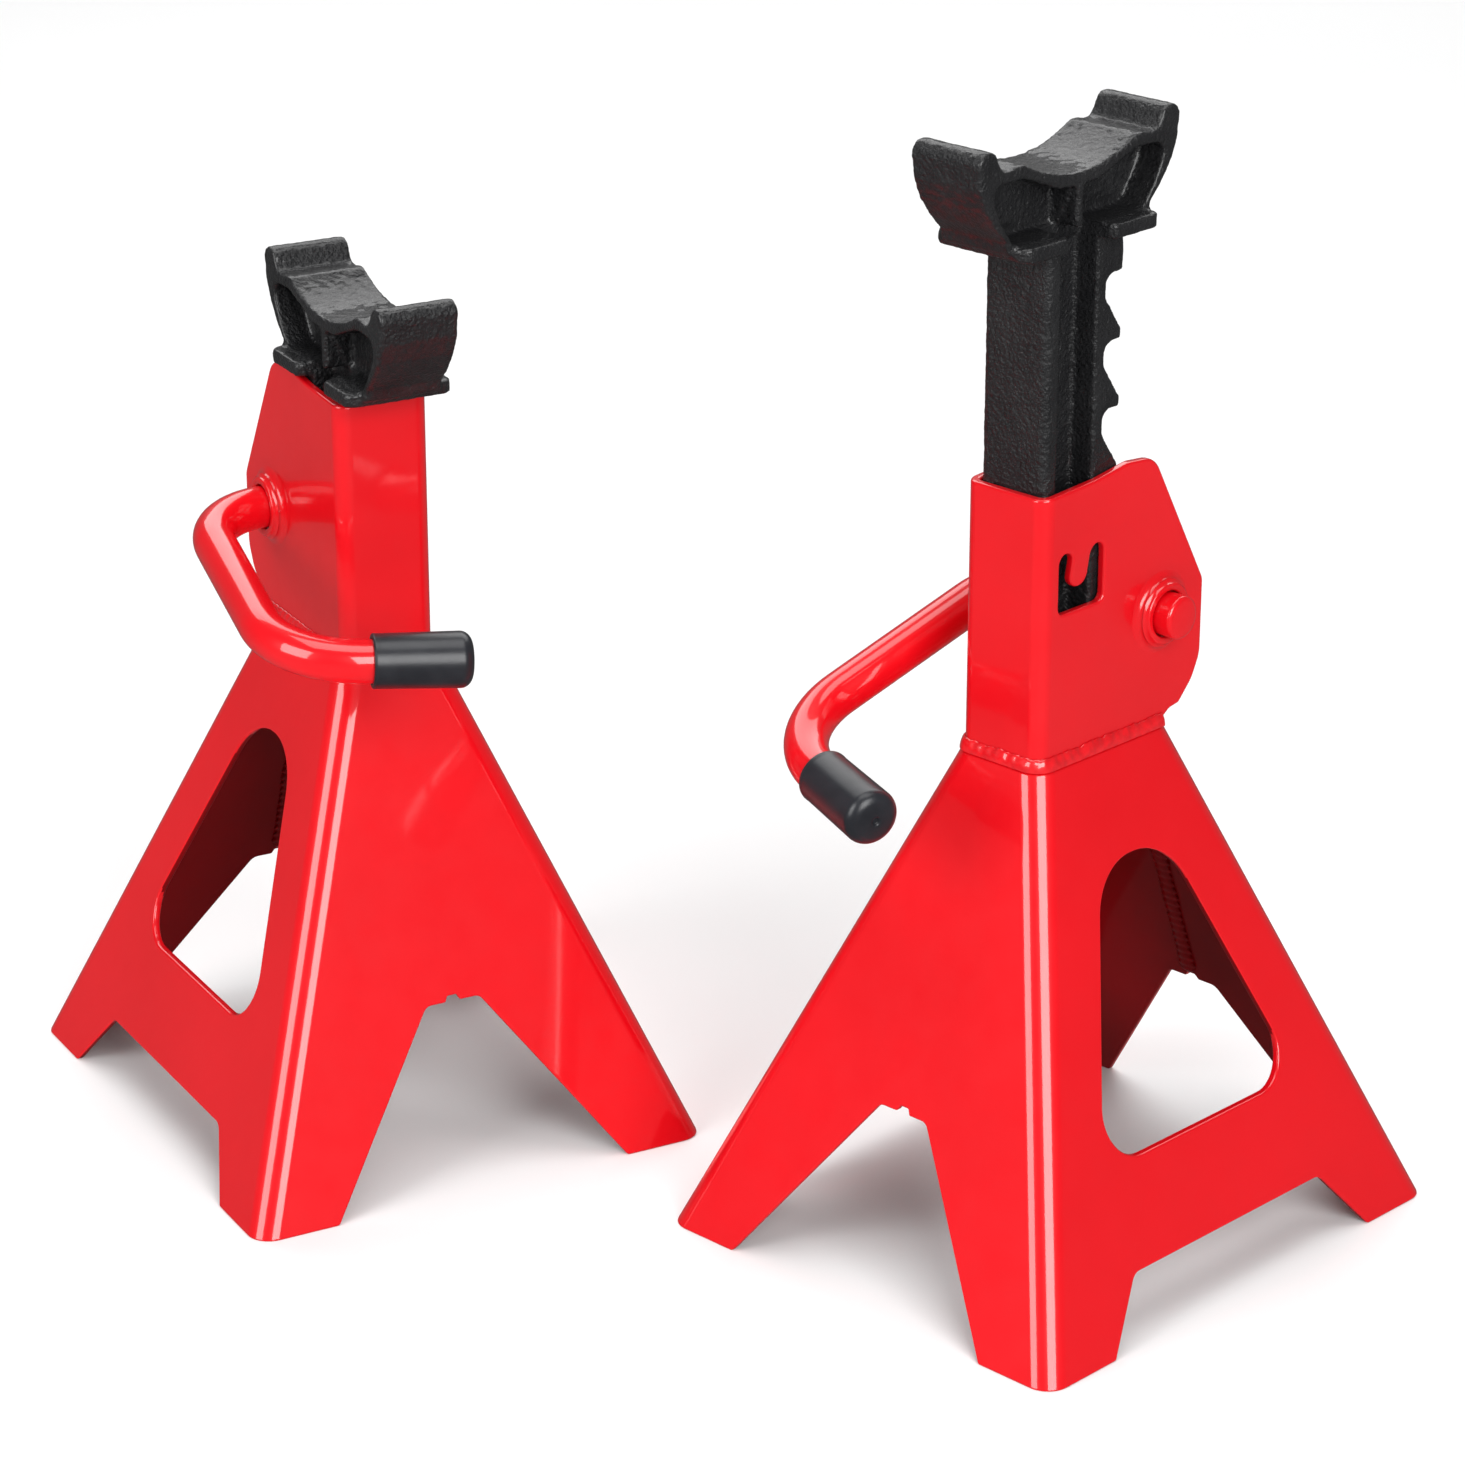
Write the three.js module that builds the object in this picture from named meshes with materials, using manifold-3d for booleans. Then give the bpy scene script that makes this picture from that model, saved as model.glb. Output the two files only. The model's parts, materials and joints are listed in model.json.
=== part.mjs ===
// A pair of ratchet axle jack stands: a stamped pyramid base in two welded halves, a sheet column
// with ears, a cast ratchet bar with its saddle, and a lift handle whose pawl works in the rack.
// Millimetres, +Z up. Both stands come from one function; the left one is lowered, the right one raised.
import * as THREE from 'three';
import { ConvexGeometry } from 'three/addons/geometries/ConvexGeometry.js';
import { mergeVertices } from 'three/addons/utils/BufferGeometryUtils.js';
import Module from 'manifold-3d';

const wasm = await Module();
wasm.setup();

// ---------------------------------------------------------------- driving dimensions
const GAP = 0.3;                  // clearance kept between separate pieces
const FAR = 300;                  // reach of a cutter that runs right through

// stamped base, one stand's own frame: window faces at +-X, welded V-cut faces at +-Y
const BASE = { footX: 80.3, footY: 93, topX: 17.68, topY: 31.61, height: 162.2, sheet: 2.5, bend: 8 };
const WINDOW = { low: 50.6, high: 132, lowHalf: 47.3, highHalf: 15.3, lowRound: 12.5, highRound: 21.5 };
const BAND = { height: 20.2, topHalf: 45, footHalf: 62, round: 5 };
const VEE = { footHalf: 51.6, apexHalf: 9.4, height: 58, round: 3.5, notchHalf: 2.6, notchRise: 1.8 };
const SEAM = { width: 6, rise: 1.5, from: 61, to: 146, ripples: 9 };

// sheet column
const COLUMN = { half: 16, front: -30, wall: 3, bend: 5, foot: 149.5, back: 27.6, top: 248.6 };
// the cheek's rear edge from the foot up over the ear to the crown, as corners of y, z and radius
const EAR = [
  [27.6, 163.5, 2], [32, 166.5, 3], [36.5, 167.2], [42.6, 173.6, 12], [46.1, 181, 12],
  [46.1, 206, 6], [21, 250.8, 9], [9, 252, 10], [-6, 250, 30],
];
const PIVOT = { y: 25.3, z: 200.3 };
const BOSS = { root: 12.2, neck: 10, hole: 7.3, rise: 3.8, rim: 0.8 };
const SLOT = { front: -22.3, back: -1.8, low: 210.9, high: 229.8, prong: 6.2, round: 2.6, endRound: 3.05 };
const TONGUE = { tip: 217.6, press: 1.2, leanFrom: 1, leanTo: 8 };
const FOOT_WELD = { low: BASE.height + GAP, high: 166.4, topLeg: 0.6, proud: 0.4, bend: 7 };

// ratchet bar, measured from the underside of the saddle's plate
const PITCH = 21;
const NOTCHES = 8;
const BAR = { half: 12.6, front: -26.6, flange: 5.7, round: 2.2, webHalf: 4, rackFront: -5, root: -0.2,
  land: 7.15, length: 184, firstNotch: 12.6, plugHeight: 8 };
const TOOTH = { corner: 3.8, rootEnd: 7.1, rampEnd: 17.85 };
const PLATE = { half: 18.3, thick: 4.4, front: -43.2, frontIn: -23.5, backIn: -4.5, back: 17.2, neckHalf: 5,
  outerRound: 4, innerRound: 2.5, neckRound: 2 };
const SADDLE = { middle: -14.2, half: 13.3, webHalf: 3.5,
  ribHalf: 2.3, ribFootX: 5, ribTopX: 12.8, ribTop: 20,
  cradleLow: 21.4, ridgeY: 25.2, ridgeZ: 28.1, lugY: 40.4, lugZ: 30.2, lugR: 4.3 };
// out from the saddle's middle and up from the plate: the groove inside the lug, the arm's outer edge
// below the lug, and the pocket under the cradle
const GROOVE = [[27.4, 28], [31.6, 27.2], [34.4, 27.8]];
const ARM_EDGE = [[43.6, 22.9], [40.8, 16.6], [36.4, 10.5], [32, 6.1], [30.8, 2]];
const POCKET = [[1.5, 4.7], [1.5, 17.2, 1], [9, 17.8, 8], [20.3, 22.2, 14], [25.7, 24, 6],
  [33.5, 23.8, 5], [38.1, 22.7, 3.2], [37.1, 17.9, 8], [34.2, 12.3, 8], [28.8, 4.7, 5]];

// handle: a bent round rod, its pawl and its rubber grip
const ROD = { radius: 6.9, pinEnd: 25.7, bend1: 25, bend2: 30 };
const ELBOW_1 = new THREE.Vector3(-41, 0, 0);
const ELBOW_2 = new THREE.Vector3(-56.2, -93.1, -34.9);
const GRIP_TIP = new THREE.Vector3(0.3, -109.9, -41.5);
const GRIP = { length: 31.5, mouth: 8.5, lip: 0.5, end: 8.9, bore: 7.2, wall: 5, dome: 3.6, domeReach: 3.4 };
const GRIP_FLAT = 0.8;            // how far the grip's end is short of its very tip where the dome stops
const PAWL = { half: 10, hub: 11, tipY: -22.15, tipTop: 23.8, tipLow: 17.6, tipRound: 1.8, noseDepth: 7 };
const PAWL_WELD = { from: 10.3, to: 12, foot: 9.8, neck: 8 };

// how the two stands stand in the pair
const SEAT_HEIGHT = 252.2;        // plate underside when the bar is right down
const RIGHT_RAISE = 3.41 * PITCH;
const LEFT_LIFT = THREE.MathUtils.degToRad(11.9);
const RIGHT_PLACE = { x: 109.3, y: -45.4, turn: THREE.MathUtils.degToRad(-44.4) };
const LEFT_PLACE = { x: -116.1, y: 47.4, turn: THREE.MathUtils.degToRad(28.8) };

// ---------------------------------------------------------------- materials
const RED = { color: 0xd2101c, roughness: 0.28, metalness: 0.1 };
const RED_WELD = { color: 0xc40f1b, roughness: 0.36, metalness: 0.1 };
const BLACK_CASTING = { color: 0x1d1c1e, roughness: 0.5, metalness: 0.35 };
const BLACK_RUBBER = { color: 0x26282b, roughness: 0.62, metalness: 0 };

function piece(name, geometry, look) {
  const mesh = new THREE.Mesh(geometry, new THREE.MeshStandardMaterial(look));
  mesh.name = name;
  return mesh;
}

// ---------------------------------------------------------------- solids
function solid(geometry) {
  geometry.deleteAttribute('normal');
  geometry.deleteAttribute('uv');
  const merged = mergeVertices(geometry, 1e-4);
  const index = Array.from(merged.index.array);
  const triangles = [];
  for (let i = 0; i < index.length; i += 3) {
    const [a, b, c] = index.slice(i, i + 3);
    if (a !== b && b !== c && c !== a) triangles.push(a, b, c);
  }
  return new wasm.Manifold(new wasm.Mesh({
    numProp: 3,
    vertProperties: new Float32Array(merged.attributes.position.array),
    triVerts: new Uint32Array(triangles),
  }));
}

function shell(body) {
  const mesh = body.getMesh();
  const geometry = new THREE.BufferGeometry();
  geometry.setAttribute('position', new THREE.BufferAttribute(new Float32Array(mesh.vertProperties), 3));
  geometry.setIndex(new THREE.BufferAttribute(new Uint32Array(mesh.triVerts), 1));
  geometry.computeVertexNormals();
  return geometry;
}

function join(...bodies) {
  return bodies.reduce((all, body) => all.add(body));
}

function box(x0, x1, y0, y1, z0, z1) {
  const geometry = new THREE.BoxGeometry(x1 - x0, y1 - y0, z1 - z0);
  geometry.translate((x0 + x1) / 2, (y0 + y1) / 2, (z0 + z1) / 2);
  return solid(geometry);
}

// An outline of corners [u, v, radius] as points, with each rounded corner as an arc.
function outline(corners, arcSteps = 6) {
  const points = [];
  corners.forEach(([u, v, radius = 0], i) => {
    const corner = new THREE.Vector2(u, v);
    if (radius === 0) {
      points.push(corner);
      return;
    }
    const before = corners[(i + corners.length - 1) % corners.length];
    const after = corners[(i + 1) % corners.length];
    const toBefore = new THREE.Vector2(before[0] - u, before[1] - v).normalize();
    const toAfter = new THREE.Vector2(after[0] - u, after[1] - v).normalize();
    const half = Math.acos(THREE.MathUtils.clamp(toBefore.dot(toAfter), -1, 1)) / 2;
    const middle = toBefore.clone().add(toAfter).normalize().multiplyScalar(radius / Math.sin(half));
    const centre = corner.clone().add(middle);
    const start = corner.clone().addScaledVector(toBefore, radius / Math.tan(half)).sub(centre);
    const end = corner.clone().addScaledVector(toAfter, radius / Math.tan(half)).sub(centre);
    const sweep = Math.atan2(start.cross(end), start.dot(end));
    for (let k = 0; k <= arcSteps; k += 1) {
      points.push(start.clone().rotateAround(new THREE.Vector2(), sweep * k / arcSteps).add(centre));
    }
  });
  return points;
}

const ALONG_X = new THREE.Matrix4().makeBasis(
  new THREE.Vector3(0, 1, 0), new THREE.Vector3(0, 0, 1), new THREE.Vector3(1, 0, 0));
const ALONG_Y = new THREE.Matrix4().makeBasis(
  new THREE.Vector3(1, 0, 0), new THREE.Vector3(0, 0, 1), new THREE.Vector3(0, -1, 0));

function prism(points, depth) {
  return new THREE.ExtrudeGeometry(new THREE.Shape(points), { depth, bevelEnabled: false, steps: 1 });
}

// A (y, z) outline drawn out from x = from to x = to.
function prismX(points, from, to) {
  return solid(prism(points, to - from).applyMatrix4(ALONG_X).translate(from, 0, 0));
}

// An (x, z) outline drawn out from y = from to y = to.
function prismY(points, from, to) {
  return solid(prism(points, to - from).applyMatrix4(ALONG_Y).translate(0, to, 0));
}

// An (x, y) outline drawn up from z = from to z = to.
function prismZ(points, from, to) {
  return solid(prism(points, to - from).translate(0, 0, from));
}

// A profile of [radius, x] points turned round the X axis at (y, z).
function turnedX(profile, y, z, segments = 24) {
  const points = profile.map(([radius, x]) => new THREE.Vector2(radius, x));
  const geometry = new THREE.LatheGeometry(points, segments);
  geometry.rotateZ(-Math.PI / 2).translate(0, y, z);
  return solid(geometry);
}

function roundedRectangle(halfX, halfY, radius) {
  return outline([[-halfX, -halfY, radius], [halfX, -halfY, radius],
    [halfX, halfY, radius], [-halfX, halfY, radius]], 5);
}

// The hull of two level rounded rectangles, which is a pyramid's frustum with bent edges.
function frustum(low, high, shrink = 0) {
  const points = [];
  for (const { x, y, z, bend } of [low, high]) {
    for (const p of roundedRectangle(x - shrink, y - shrink, Math.max(bend - shrink, 1))) {
      points.push(new THREE.Vector3(p.x, p.y, z));
    }
  }
  return solid(new ConvexGeometry(points));
}

// ---------------------------------------------------------------- stamped base
// The base's outer half widths at a height, carried on in a straight line past both ends.
function baseAt(z) {
  const t = z / BASE.height;
  return {
    x: THREE.MathUtils.lerp(BASE.footX, BASE.topX, t),
    y: THREE.MathUtils.lerp(BASE.footY, BASE.topY, t),
    z,
    bend: BASE.bend,
  };
}

// How far the sheet reaches across, measured level: the walls lean, so a little more than its thickness.
const WALL_ACROSS = BASE.sheet * Math.hypot(1, (BASE.footX - BASE.topX) / BASE.height);

function baseShell() {
  const margin = 3;
  const outer = frustum(baseAt(0), baseAt(BASE.height));
  const inner = frustum(baseAt(-margin), baseAt(BASE.height + margin), WALL_ACROSS);
  const window = prismX(outline([
    [-WINDOW.lowHalf, WINDOW.low, WINDOW.lowRound], [WINDOW.lowHalf, WINDOW.low, WINDOW.lowRound],
    [WINDOW.highHalf, WINDOW.high, WINDOW.highRound], [-WINDOW.highHalf, WINDOW.high, WINDOW.highRound],
  ], 8), -FAR, FAR);
  const underBand = prismX(outline([
    [-BAND.footHalf, 0], [-BAND.footHalf, -margin], [BAND.footHalf, -margin], [BAND.footHalf, 0],
    [BAND.topHalf, BAND.height, BAND.round], [-BAND.topHalf, BAND.height, BAND.round],
  ], 4), -FAR, FAR);
  const vee = prismY(outline([
    [-VEE.footHalf, 0], [-VEE.footHalf, -margin], [VEE.footHalf, -margin], [VEE.footHalf, 0],
    [VEE.apexHalf, VEE.height, VEE.round], [VEE.notchHalf, VEE.height],
    [VEE.notchHalf * 0.6, VEE.height + VEE.notchRise], [-VEE.notchHalf * 0.6, VEE.height + VEE.notchRise],
    [-VEE.notchHalf, VEE.height], [-VEE.apexHalf, VEE.height, VEE.round],
  ], 4), -FAR, FAR);
  return outer.subtract(inner).subtract(window).subtract(underBand).subtract(vee).subtract(columnSleeve());
}

// The room that the column's foot takes in the base's neck, with its clearance.
function columnSleeve() {
  const clear = COLUMN.half + GAP;
  const front = COLUMN.front - GAP;
  const bend = COLUMN.bend + GAP;
  return prismZ(outline([
    [-clear, front, bend], [clear, front, bend], [clear, COLUMN.back + GAP], [-clear, COLUMN.back + GAP],
  ], 6), COLUMN.foot - GAP, FAR);
}

function baseHalf(base, side) {
  const keep = side > 0 ? box(GAP / 2, FAR, -FAR, FAR, -1, FAR) : box(-FAR, -GAP / 2, -FAR, FAR, -1, FAR);
  return shell(base.intersect(keep));
}

// A rippled bead up the inside of the front V face, over the joint between the two halves; turned half
// round it is the rear one.
function seamBead() {
  const bottom = new THREE.Vector3(0, WALL_ACROSS - baseAt(SEAM.from).y, SEAM.from);
  const top = new THREE.Vector3(0, WALL_ACROSS - baseAt(SEAM.to).y, SEAM.to);
  const along = top.clone().sub(bottom);
  const inward = new THREE.Vector3(0, along.z, -along.y).normalize();
  const section = new THREE.Shape();
  section.moveTo(0, -SEAM.width / 2);
  section.absellipse(0, 0, SEAM.rise, SEAM.width / 2, -Math.PI / 2, Math.PI / 2, false, 0);
  const steps = SEAM.ripples * 2;
  const geometry = new THREE.ExtrudeGeometry(section, {
    depth: along.length(), steps, bevelEnabled: false, curveSegments: 6,
  });
  const place = geometry.attributes.position;
  const pitch = along.length() / steps;
  for (let i = 0; i < place.count; i += 1) {
    const crest = Math.round(place.getZ(i) / pitch) % 2;
    const swell = crest ? 1 : 0.72;
    place.setX(i, place.getX(i) * swell);
  }
  const across = new THREE.Vector3().crossVectors(along.clone().normalize(), inward);
  const frame = new THREE.Matrix4().makeBasis(inward, across, along.clone().normalize());
  frame.setPosition(bottom.addScaledVector(inward, GAP));
  return shell(solid(geometry.applyMatrix4(frame)));
}

// ---------------------------------------------------------------- column
function columnSide() {
  return outline([
    [COLUMN.front - 1, COLUMN.foot], [COLUMN.back, COLUMN.foot], ...EAR, [COLUMN.front - 1, COLUMN.top],
  ], 5);
}

function columnPlan() {
  const inner = COLUMN.half - COLUMN.wall;
  const innerFront = COLUMN.front + COLUMN.wall;
  const innerBend = COLUMN.bend - COLUMN.wall;
  return outline([
    [-COLUMN.half, COLUMN.front, COLUMN.bend], [COLUMN.half, COLUMN.front, COLUMN.bend],
    [COLUMN.half, FAR], [inner, FAR],
    [inner, innerFront, innerBend], [-inner, innerFront, innerBend],
    [-inner, FAR], [-COLUMN.half, FAR],
  ], 6);
}

// The slot's window and, inside it, the tongue's outline hanging from its upper edge.
function slotOutlines() {
  const { front, back, low, high, prong, round, endRound } = SLOT;
  const whole = outline([
    [front, low, round], [back, low, round],
    [back, high, endRound], [back - prong, high, endRound],
    [back - prong, high - TONGUE.leanTo], [front + prong, high - TONGUE.leanTo],
    [front + prong, high, endRound], [front, high, endRound],
  ], 5);
  const tipRound = (back - front) / 2 - prong - 0.05;
  const tongue = outline([
    [front + prong, TONGUE.tip, tipRound], [back - prong, TONGUE.tip, tipRound],
    [back - prong, high + TONGUE.leanFrom], [front + prong, high + TONGUE.leanFrom],
  ], 5);
  return { whole, tongue };
}

// The tongue's sheet leans inward below its root, so that its tip lies a little under the cheek.
function pressedTongue(tongueOutline) {
  const outer = COLUMN.half;
  const inner = COLUMN.half - COLUMN.wall;
  const root = SLOT.high;
  const below = TONGUE.tip - 1;
  const leaning = prismY(outline([
    [inner, root + TONGUE.leanFrom], [inner, root - TONGUE.leanFrom],
    [inner - TONGUE.press, root - TONGUE.leanTo], [inner - TONGUE.press, below],
    [outer - TONGUE.press, below], [outer - TONGUE.press, root - TONGUE.leanTo],
    [outer, root - TONGUE.leanFrom], [outer, root + TONGUE.leanFrom],
  ]), -FAR, FAR);
  return leaning.intersect(prismX(tongueOutline, 0, FAR));
}

function bossFlare(side) {
  const seat = COLUMN.half - 0.5;
  const face = COLUMN.half + BOSS.rise;
  const profile = [
    [0, seat], [BOSS.root, seat], [BOSS.root, COLUMN.half], [BOSS.root - 1.3, COLUMN.half + 0.6],
    [BOSS.neck + 0.2, COLUMN.half + 2], [BOSS.neck, face - BOSS.rim], [BOSS.neck - BOSS.rim, face],
    [0, face],
  ];
  const flare = turnedX(profile, 0, 0);
  return (side > 0 ? flare : flare.rotate([0, 0, 180])).translate([0, PIVOT.y, PIVOT.z]);
}

function columnGeometry() {
  const { whole, tongue } = slotOutlines();
  const reach = COLUMN.half + BOSS.rise + 1;
  const hole = turnedX([[0, -reach], [BOSS.hole, -reach], [BOSS.hole, reach], [0, reach]], PIVOT.y, PIVOT.z);
  const sheet = prismZ(columnPlan(), COLUMN.foot, 260).intersect(prismX(columnSide(), -FAR, FAR));
  const slotCutter = prismX(whole, 0, FAR).add(prismX(tongue, 0, FAR));
  const body = join(sheet.subtract(slotCutter), pressedTongue(tongue), bossFlare(1), bossFlare(-1));
  return shell(body.subtract(hole));
}

// The fillet weld that runs round the column's foot, open at the back as the column is.
function footWeld() {
  const clear = COLUMN.half + GAP;
  const front = -COLUMN.front + GAP;
  const { x, y } = baseAt(BASE.height);
  const { proud, bend } = FOOT_WELD;
  const low = { x: x + proud, y: y + proud, z: FOOT_WELD.low, bend };
  const leg = FOOT_WELD.topLeg;
  const high = { x: clear + leg, y: front + leg, z: FOOT_WELD.high, bend: COLUMN.bend };
  const bead = frustum(low, high);
  const sleeve = prismZ(outline([
    [-clear, -front, COLUMN.bend], [clear, -front, COLUMN.bend], [clear, FAR], [-clear, FAR],
  ], 6), 0, FAR);
  return shell(bead.subtract(sleeve).subtract(box(-FAR, FAR, COLUMN.back + 1.5, FAR, 0, FAR)));
}

// ---------------------------------------------------------------- ratchet bar and saddle
function rackOutline() {
  const points = [new THREE.Vector2(BAR.rackFront, -BAR.length), new THREE.Vector2(BAR.rackFront, 1),
    new THREE.Vector2(BAR.land, 1)];
  for (let k = 0; k < NOTCHES; k += 1) {
    const bearing = -BAR.firstNotch - k * PITCH;
    const corner = new THREE.QuadraticBezierCurve(
      new THREE.Vector2(BAR.root + TOOTH.corner, bearing),
      new THREE.Vector2(BAR.root, bearing),
      new THREE.Vector2(BAR.root, bearing - TOOTH.corner));
    points.push(new THREE.Vector2(BAR.land, bearing), ...corner.getPoints(4));
    points.push(new THREE.Vector2(BAR.root, bearing - TOOTH.rootEnd));
    if (k < NOTCHES - 1) points.push(new THREE.Vector2(BAR.land, bearing - TOOTH.rampEnd));
  }
  points.push(new THREE.Vector2(BAR.root, -BAR.length));
  return points.reverse();
}

// Half of the saddle's end view, from the middle of the cradle out over the lug and down to the plate;
// side is -1 for the front half and +1 for the back half.
function saddleHalfOutline(side) {
  const { middle, cradleLow, ridgeY, ridgeZ, lugY, lugZ, lugR } = SADDLE;
  const rise = ridgeZ - cradleLow;
  const radius = (ridgeY * ridgeY + rise * rise) / (2 * rise);
  const points = [];
  const cradleSteps = 6;
  for (let k = 0; k <= cradleSteps; k += 1) {
    const y = ridgeY * k / cradleSteps;
    points.push([y, cradleLow + radius - Math.sqrt(radius * radius - y * y)]);
  }
  points.push(...GROOVE);
  const lugSteps = 7;
  for (let k = 0; k <= lugSteps; k += 1) {
    const angle = THREE.MathUtils.degToRad(168 - 189 * k / lugSteps);
    points.push([lugY + lugR * Math.cos(angle), lugZ + lugR * Math.sin(angle)]);
  }
  points.push(...ARM_EDGE);
  return points.map(([y, z]) => new THREE.Vector2(middle + side * y, z));
}

// The open pocket between the cradle, the arm and the plate on one side of the middle rib.
function pocketOutline(side) {
  const points = outline(POCKET, 4).map((p) => new THREE.Vector2(SADDLE.middle + side * p.x, p.y));
  return side > 0 ? points.reverse() : points;
}

function saddleSolid() {
  const whole = [...saddleHalfOutline(-1).reverse(), ...saddleHalfOutline(1).slice(1)];
  const { half, webHalf, ribHalf, ribFootX, ribTopX, ribTop, middle } = SADDLE;
  const casting = prismX(whole.reverse(), -half, half)
    .subtract(prismX(pocketOutline(1), -FAR, FAR))
    .subtract(prismX(pocketOutline(-1), -FAR, FAR));
  const web = prismX(whole, -webHalf, webHalf);
  const rib = prismY(outline([
    [-ribFootX, 1], [ribFootX, 1], [ribFootX, PLATE.thick],
    [ribTopX, ribTop], [-ribTopX, ribTop], [-ribFootX, PLATE.thick],
  ]), middle - ribHalf, middle + ribHalf);
  return { casting, web, rib };
}

function plateSolid() {
  const { half, thick, front, frontIn, backIn, back, neckHalf, outerRound, innerRound, neckRound } = PLATE;
  const waisted = outline([
    [-half, front, outerRound], [half, front, outerRound],
    [half, frontIn, innerRound], [neckHalf, frontIn, neckRound],
    [neckHalf, backIn, neckRound], [half, backIn, innerRound],
    [half, back, outerRound], [-half, back, outerRound],
    [-half, backIn, innerRound], [-neckHalf, backIn, neckRound],
    [-neckHalf, frontIn, neckRound], [-half, frontIn, innerRound],
  ], 3);
  return prismZ(waisted, 0, thick);
}

function ratchetBar() {
  const { casting, web, rib } = saddleSolid();
  const plate = plateSolid();
  const underCradle = box(
    -PLATE.neckHalf, PLATE.neckHalf, PLATE.frontIn - 1, PLATE.backIn + 1, 0, PLATE.thick);
  // the casting's own bottom skin follows the plate's waist instead of bridging it
  const waist = join(
    box(PLATE.neckHalf, FAR, PLATE.frontIn, PLATE.backIn, -1, POCKET[0][1]),
    box(-FAR, -PLATE.neckHalf, PLATE.frontIn, PLATE.backIn, -1, POCKET[0][1]));
  const flange = prismZ(outline([
    [-BAR.half, BAR.front, BAR.round], [BAR.half, BAR.front, BAR.round],
    [BAR.half, BAR.front + BAR.flange], [-BAR.half, BAR.front + BAR.flange],
  ], 3), -BAR.length, 1);
  const barWeb = box(-BAR.webHalf, BAR.webHalf, BAR.front + 1, BAR.rackFront + 1, -BAR.length, 1);
  const plug = box(-BAR.half, BAR.half, BAR.front + BAR.flange - 1, BAR.rackFront + 1,
    -BAR.length, -BAR.length + BAR.plugHeight);
  const rack = prismX(rackOutline(), -BAR.half, BAR.half);
  return shell(join(casting.subtract(waist), plate, underCradle, web, rib, flange, barWeb, plug, rack));
}

// ---------------------------------------------------------------- handle
// A straight, bent, straight, bent, straight path with true tangent bends.
function handlePath(tip) {
  const start = new THREE.Vector3(ROD.pinEnd, 0, 0);
  const path = new THREE.CurvePath();
  let last = start;
  const elbows = [[ELBOW_1, start, ELBOW_2, ROD.bend1], [ELBOW_2, ELBOW_1, GRIP_TIP, ROD.bend2]];
  for (const [corner, before, after, radius] of elbows) {
    const toBefore = before.clone().sub(corner).normalize();
    const toAfter = after.clone().sub(corner).normalize();
    const turn = Math.PI - toBefore.angleTo(toAfter);
    const tangent = radius * Math.tan(turn / 2);
    const pull = 4 / 3 * Math.tan(turn / 4) * radius;
    const enter = corner.clone().addScaledVector(toBefore, tangent);
    const leave = corner.clone().addScaledVector(toAfter, tangent);
    path.add(new THREE.LineCurve3(last, enter));
    path.add(new THREE.CubicBezierCurve3(
      enter, enter.clone().addScaledVector(toBefore, -pull),
      leave.clone().addScaledVector(toAfter, -pull), leave));
    last = leave;
  }
  path.add(new THREE.LineCurve3(last, tip));
  return path;
}

function gripAxis() {
  return GRIP_TIP.clone().sub(ELBOW_2).normalize();
}

function rodGeometry() {
  const rodEnd = GRIP_TIP.clone().addScaledVector(gripAxis(), -GRIP.wall - GAP);
  const circle = new THREE.Path().absarc(0, 0, ROD.radius, 0, 2 * Math.PI, false);
  const section = new THREE.Shape(circle.getPoints(9));
  return shell(solid(new THREE.ExtrudeGeometry(section, { steps: 44, extrudePath: handlePath(rodEnd) })));
}

function gripGeometry() {
  const { length, mouth, lip, end, bore, wall, dome, domeReach } = GRIP;
  const floor = length - wall;
  const profile = [
    [0, floor], [bore, floor], [bore, 0], [mouth - lip, 0], [mouth, lip], [end, length - dome],
  ];
  const domeSteps = 4;
  for (let k = 1; k < domeSteps; k += 1) {
    const angle = k / domeSteps * Math.PI / 2;
    profile.push([end - domeReach + domeReach * Math.cos(angle),
      length - dome + (dome - GRIP_FLAT) * Math.sin(angle)]);
  }
  profile.push([end - domeReach, length - GRIP_FLAT], [0, length]);
  const geometry = new THREE.LatheGeometry(profile.map(([r, along]) => new THREE.Vector2(r, along)), 28);
  const mouthPoint = GRIP_TIP.clone().addScaledVector(gripAxis(), -length);
  const turn = new THREE.Quaternion().setFromUnitVectors(new THREE.Vector3(0, 1, 0), gripAxis());
  geometry.applyQuaternion(turn).translate(mouthPoint.x, mouthPoint.y, mouthPoint.z);
  return shell(solid(geometry));
}

function pawlGeometry() {
  const { half, hub, tipY, tipTop, tipLow, tipRound, noseDepth } = PAWL;
  const nose = prismX(outline([
    [-3, -hub + 0.5], [2, 0], [-1, hub - 0.3], [tipY + noseDepth, tipTop],
    [tipY, tipTop, tipRound], [tipY, tipLow, tipRound], [-hub + 1, 4],
  ].reverse(), 4), -half, half);
  const ring = turnedX([[0, -half], [hub, -half], [hub, half], [0, half]], 0, 0);
  const bore = ROD.radius + GAP;
  const hole = turnedX([[0, -half - 1], [bore, -half - 1], [bore, half + 1], [0, half + 1]], 0, 0);
  return shell(ring.add(nose).subtract(hole));
}

function pawlWeld(side) {
  const { from, to, foot, neck } = PAWL_WELD;
  const bore = ROD.radius + GAP;
  const bead = turnedX([[0, from], [foot, from], [neck, to], [0, to]], 0, 0)
    .subtract(turnedX([[0, from - 1], [bore, from - 1], [bore, to + 1], [0, to + 1]], 0, 0));
  return shell(side > 0 ? bead : bead.rotate([0, 0, 180]));
}

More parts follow.
